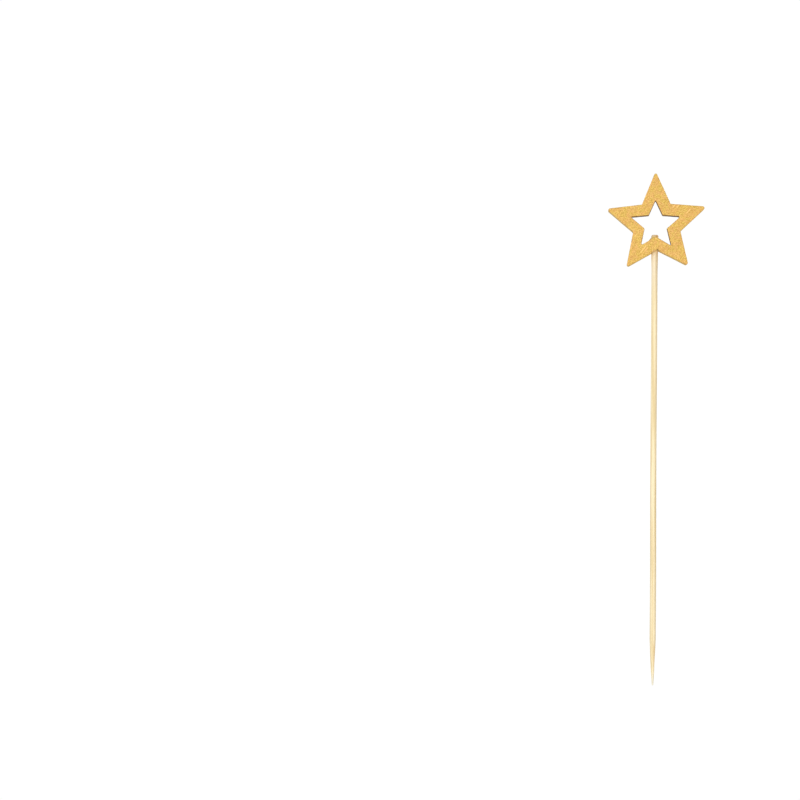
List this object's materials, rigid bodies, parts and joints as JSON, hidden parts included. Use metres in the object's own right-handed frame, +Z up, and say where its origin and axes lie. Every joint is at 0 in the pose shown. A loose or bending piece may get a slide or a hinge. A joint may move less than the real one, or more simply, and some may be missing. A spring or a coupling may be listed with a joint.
{
  "type": "cocktail pick",
  "caption": "Cocktail pick: an open five-pointed plywood star painted gold, glued onto a slim round bamboo stick with a whittled point.",
  "frame": {"origin": "lower end of the stick's point, on the stick's axis", "axes": "+Z up the stick's axis towards the star, -Y out of the star's front face, +X to the right seen from the front"},
  "size_m": [0.026, 0.0048, 0.138],
  "materials": {
    "gold_paint": "satin metallic gold paint on wood veneer, grain showing faintly through",
    "gold_paint_edge": "satin metallic gold paint on the sawn edge, end grain and ply lines showing, browner inside the cut-out",
    "bamboo": "natural bamboo, matt, with fine lengthwise fibres",
    "adhesive": "cured wood adhesive, amber, slightly glossy"
  },
  "bodies": {
    "root": {"front_ply": "gold_paint", "core_ply": "gold_paint_edge", "back_ply": "gold_paint", "stick": "bamboo", "glue_bond": "adhesive"}
  },
  "joints": []
}
